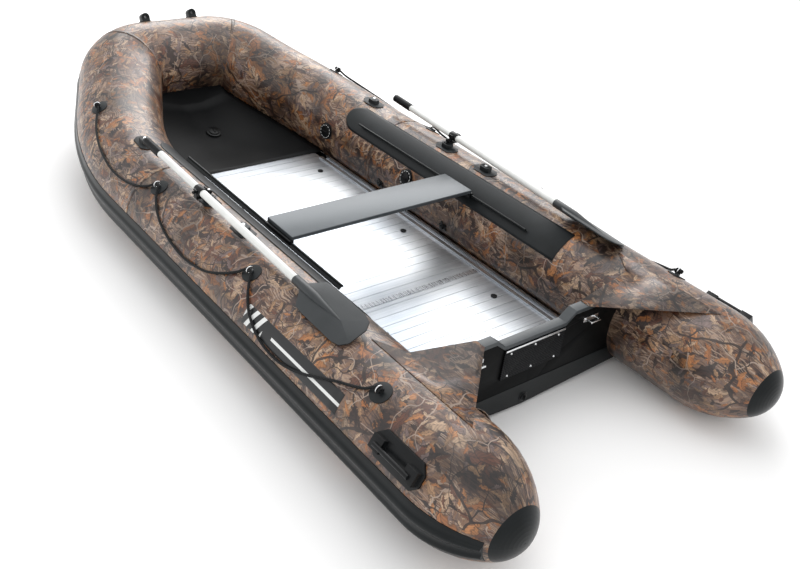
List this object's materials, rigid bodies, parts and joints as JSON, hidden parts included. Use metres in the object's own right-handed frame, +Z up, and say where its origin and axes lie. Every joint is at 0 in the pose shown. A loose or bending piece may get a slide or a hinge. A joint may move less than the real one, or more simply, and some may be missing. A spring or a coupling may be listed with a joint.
{
  "type": "inflatable dinghy",
  "caption": "Inflatable dinghy with tapered side tubes, raised bow, slatted aluminium floor, transom, sliding bench and stowed oars on swivelling oarlocks.",
  "frame": {"origin": "middle of the boat's bounding box, on the ground", "axes": "+X starboard, +Y towards the bow, +Z up"},
  "size_m": [1.8392, 3.946, 0.6865],
  "materials": {
    "camo_pvc": "semi-gloss printed",
    "inner_wall_fabric": "matte",
    "black_rubber": "satin",
    "bottom_pvc": "matte",
    "charcoal_pvc": "matte",
    "floor_aluminium": "brushed",
    "black_plastic": "satin",
    "painted_plywood": "satin",
    "grey_trim": "satin",
    "bright_aluminium": "polished",
    "stainless_steel": "polished",
    "grey_patch_rubber": "matte",
    "bead_rubber": "satin",
    "black_rope": "matte braided",
    "bench_grey": "satin anodised",
    "oar_shaft_white": "satin",
    "oar_plastic": "satin"
  },
  "bodies": {
    "hull": {"port_tube": "camo_pvc", "starboard_tube": "camo_pvc", "bow_tube": "camo_pvc", "chamber_baffles": "inner_wall_fabric", "cone_caps": "black_rubber", "port_strake": "black_rubber", "starboard_strake": "black_rubber", "bottom_skin": "bottom_pvc", "keel_tube": "bottom_pvc", "bow_apron": "charcoal_pvc", "stern_floor_panel": "floor_aluminium", "middle_floor_panel": "floor_aluminium", "bow_floor_panel": "floor_aluminium", "floor_joiners": "floor_aluminium", "port_stringer": "floor_aluminium", "starboard_stringer": "floor_aluminium", "floor_plugs": "black_plastic", "transom_board": "painted_plywood", "transom_cap": "grey_trim", "motor_plates": "black_plastic", "plate_strip": "bright_aluminium", "transom_screws": "stainless_steel", "transom_skirt": "black_rubber", "drain_body": "black_plastic", "tow_eyes": "stainless_steel", "corner_gussets": "camo_pvc", "line_patches": "grey_patch_rubber", "line_rings": "stainless_steel", "port_grab_line": "black_rope", "starboard_grab_line": "black_rope", "port_carry_handle": "black_plastic", "starboard_carry_handle": "black_plastic", "strap_handles": "camo_pvc", "bow_loops": "black_rubber", "tie_downs": "black_rubber", "seat_tracks": "grey_patch_rubber", "seat_beads": "bead_rubber", "oar_pads": "grey_patch_rubber", "pad_studs": "stainless_steel", "valve_bodies": "black_plastic"},
    "bench": {"bench_board": "bench_grey", "bench_rails": "black_plastic"},
    "port_oarlock": {"port_oarlock": "black_plastic"},
    "starboard_oarlock": {"starboard_oarlock": "black_plastic"},
    "port_oar": {"port_oar_collar": "oar_plastic", "port_oar_shaft": "oar_shaft_white", "port_oar_grip": "oar_plastic", "port_oar_blade": "oar_plastic"},
    "starboard_oar": {"starboard_oar_collar": "oar_plastic", "starboard_oar_shaft": "oar_shaft_white", "starboard_oar_grip": "oar_plastic", "starboard_oar_blade": "oar_plastic"},
    "port_knob": {"port_knob": "black_plastic"},
    "starboard_knob": {"starboard_knob": "black_plastic"},
    "drain_plug": {"drain_plug": "black_plastic"},
    "port_valve_cap": {"port_valve_cap": "black_plastic"},
    "starboard_valve_cap": {"starboard_valve_cap": "black_plastic"},
    "bow_valve_cap": {"bow_valve_cap": "black_plastic"},
    "keel_valve_cap": {"keel_valve_cap": "black_plastic"}
  },
  "joints": [
    {"name": "bench_slide", "type": "slide", "parent": "hull", "child": "bench", "axis": [0, 1, 0], "range_m": [-0.36, 0.7]},
    {"name": "port_oarlock_swivel", "type": "hinge", "parent": "hull", "child": "port_oarlock", "pos_m": [-0.679, 0.06512, 0.467], "axis": [0, 0, -1], "range_deg": [0, 95]},
    {"name": "port_oar_lift", "type": "hinge", "parent": "port_oarlock", "child": "port_oar", "pos_m": [-0.719, 0.06512, 0.494], "axis": [-1, 0, 0], "range_deg": [0, 3]},
    {"name": "port_knob_turn", "type": "hinge", "parent": "hull", "child": "port_knob", "pos_m": [-0.679, 0.06512, 0.48], "axis": [0, 0, 1], "continuous": true},
    {"name": "starboard_oarlock_swivel", "type": "hinge", "parent": "hull", "child": "starboard_oarlock", "pos_m": [0.679, 0.06512, 0.467], "axis": [0, 0, 1], "range_deg": [0, 95]},
    {"name": "starboard_oar_lift", "type": "hinge", "parent": "starboard_oarlock", "child": "starboard_oar", "pos_m": [0.71897, 0.06358, 0.494], "axis": [-0.9993, 0.0384, 0], "range_deg": [0, 3]},
    {"name": "starboard_knob_turn", "type": "hinge", "parent": "hull", "child": "starboard_knob", "pos_m": [0.679, 0.06512, 0.48], "axis": [0, 0, 1], "continuous": true},
    {"name": "drain_plug_pull", "type": "slide", "parent": "hull", "child": "drain_plug", "axis": [0, -1, 0], "range_m": [0, 0.05]},
    {"name": "port_valve_cap_turn", "type": "hinge", "parent": "hull", "child": "port_valve_cap", "pos_m": [-0.46601, 0.11912, 0.28695], "axis": [0.9563, 0, 0.2924], "continuous": true},
    {"name": "starboard_valve_cap_turn", "type": "hinge", "parent": "hull", "child": "starboard_valve_cap", "pos_m": [0.46601, 0.11912, 0.28695], "axis": [-0.9563, 0, 0.2924], "continuous": true},
    {"name": "bow_valve_cap_turn", "type": "hinge", "parent": "hull", "child": "bow_valve_cap", "pos_m": [0.44491, 0.82018, 0.26629], "axis": [-0.98, -0.1426, 0.1385], "continuous": true},
    {"name": "keel_valve_cap_turn", "type": "hinge", "parent": "hull", "child": "keel_valve_cap", "pos_m": [0, 1.28502, 0.15453], "axis": [0, -0.2644, 0.9644], "continuous": true}
  ]
}
